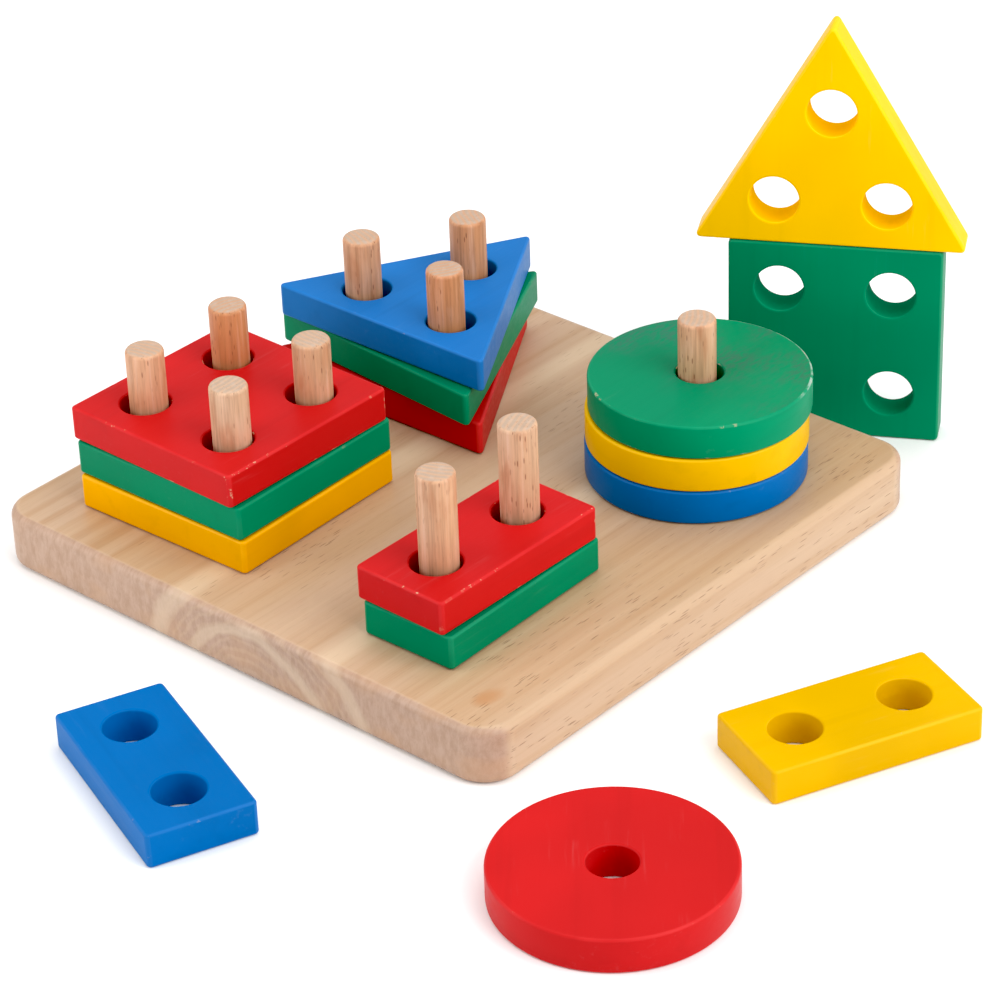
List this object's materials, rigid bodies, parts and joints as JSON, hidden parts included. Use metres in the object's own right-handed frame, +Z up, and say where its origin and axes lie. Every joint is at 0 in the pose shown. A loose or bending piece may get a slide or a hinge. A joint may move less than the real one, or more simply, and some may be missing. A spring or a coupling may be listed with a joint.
{
  "type": "shape sorting board",
  "caption": "Wooden board with dowel pegs and drilled, painted squares, triangles, rectangles and discs that stack over them; some of the blocks stand loose beside it.",
  "frame": {"origin": "middle of the base board's underside, on the surface that the board and the loose blocks stand on", "axes": "+Z up along the pegs; the board's edges lie along X and Y. Squares are at -X -Y, rectangles at +X -Y, discs at +X +Y and triangles at -X +Y; the rectangles' long sides run along Y."},
  "size_m": [0.2973, 0.3375, 0.1439],
  "materials": {
    "board_wood": "pale glued hardwood strips, sanded and oiled to a low satin",
    "peg_wood": "bare pinkish dowel with dark pores, sanded",
    "red_paint": "satin paint on wood, grain just showing",
    "green_paint": "satin paint on wood, grain just showing",
    "yellow_paint": "satin paint on wood, grain just showing",
    "blue_paint": "satin paint on wood, grain just showing"
  },
  "bodies": {
    "board": {"base_board": "board_wood", "square_peg_1": "peg_wood", "square_peg_2": "peg_wood", "square_peg_3": "peg_wood", "square_peg_4": "peg_wood", "triangle_peg_1": "peg_wood", "triangle_peg_2": "peg_wood", "triangle_peg_3": "peg_wood", "rectangle_peg_1": "peg_wood", "rectangle_peg_2": "peg_wood", "disc_peg": "peg_wood"},
    "square_block_1_yellow": {"square_block_1_yellow": "yellow_paint"},
    "square_block_2_green": {"square_block_2_green": "green_paint"},
    "square_block_3_red": {"square_block_3_red": "red_paint"},
    "triangle_block_1_red": {"triangle_block_1_red": "red_paint"},
    "triangle_block_2_green": {"triangle_block_2_green": "green_paint"},
    "triangle_block_3_blue": {"triangle_block_3_blue": "blue_paint"},
    "rectangle_block_1_green": {"rectangle_block_1_green": "green_paint"},
    "rectangle_block_2_red": {"rectangle_block_2_red": "red_paint"},
    "disc_block_1_blue": {"disc_block_1_blue": "blue_paint"},
    "disc_block_2_yellow": {"disc_block_2_yellow": "yellow_paint"},
    "disc_block_3_green": {"disc_block_3_green": "green_paint"},
    "rectangle_block_3_blue": {"rectangle_block_3_blue": "blue_paint"},
    "rectangle_block_4_yellow": {"rectangle_block_4_yellow": "yellow_paint"},
    "disc_block_4_red": {"disc_block_4_red": "red_paint"},
    "square_block_4_green": {"square_block_4_green": "green_paint"},
    "triangle_block_4_yellow": {"triangle_block_4_yellow": "yellow_paint"}
  },
  "joints": [
    {"name": "square_block_1_yellow_lift", "type": "slide", "parent": "board", "child": "square_block_1_yellow", "axis": [0, 0, 1], "range_m": [0, 0.0602]},
    {"name": "square_block_2_green_lift", "type": "slide", "parent": "square_block_1_yellow", "child": "square_block_2_green", "axis": [0, 0, 1], "range_m": [0, 0.0487]},
    {"name": "square_block_3_red_lift", "type": "slide", "parent": "square_block_2_green", "child": "square_block_3_red", "axis": [0, 0, 1], "range_m": [0, 0.0372]},
    {"name": "triangle_block_1_red_lift", "type": "slide", "parent": "board", "child": "triangle_block_1_red", "axis": [0, 0, 1], "range_m": [0, 0.0602]},
    {"name": "triangle_block_2_green_lift", "type": "slide", "parent": "triangle_block_1_red", "child": "triangle_block_2_green", "axis": [0, 0, 1], "range_m": [0, 0.0487]},
    {"name": "triangle_block_3_blue_lift", "type": "slide", "parent": "triangle_block_2_green", "child": "triangle_block_3_blue", "axis": [0, 0, 1], "range_m": [0, 0.0372]},
    {"name": "rectangle_block_1_green_lift", "type": "slide", "parent": "board", "child": "rectangle_block_1_green", "axis": [0, 0, 1], "range_m": [0, 0.0602]},
    {"name": "rectangle_block_2_red_lift", "type": "slide", "parent": "rectangle_block_1_green", "child": "rectangle_block_2_red", "axis": [0, 0, 1], "range_m": [0, 0.0487]},
    {"name": "disc_block_1_blue_lift", "type": "slide", "parent": "board", "child": "disc_block_1_blue", "axis": [0, 0, 1], "range_m": [0, 0.0602]},
    {"name": "disc_block_2_yellow_lift", "type": "slide", "parent": "disc_block_1_blue", "child": "disc_block_2_yellow", "axis": [0, 0, 1], "range_m": [0, 0.0487]},
    {"name": "disc_block_3_green_lift", "type": "slide", "parent": "disc_block_2_yellow", "child": "disc_block_3_green", "axis": [0, 0, 1], "range_m": [0, 0.0372]},
    {"name": "rectangle_block_3_blue_lift", "type": "slide", "parent": "board", "child": "rectangle_block_3_blue", "axis": [0, 0, 1], "range_m": [0, 0.0795]},
    {"name": "rectangle_block_4_yellow_lift", "type": "slide", "parent": "board", "child": "rectangle_block_4_yellow", "axis": [0, 0, 1], "range_m": [0, 0.0795]},
    {"name": "disc_block_4_red_lift", "type": "slide", "parent": "board", "child": "disc_block_4_red", "axis": [0, 0, 1], "range_m": [0, 0.0795]},
    {"name": "square_block_4_green_lift", "type": "slide", "parent": "board", "child": "square_block_4_green", "axis": [0, 0, 1], "range_m": [0, 0.0795]},
    {"name": "triangle_block_4_yellow_lift", "type": "slide", "parent": "square_block_4_green", "child": "triangle_block_4_yellow", "axis": [0, 0, 1], "range_m": [0, 0.0795]}
  ]
}
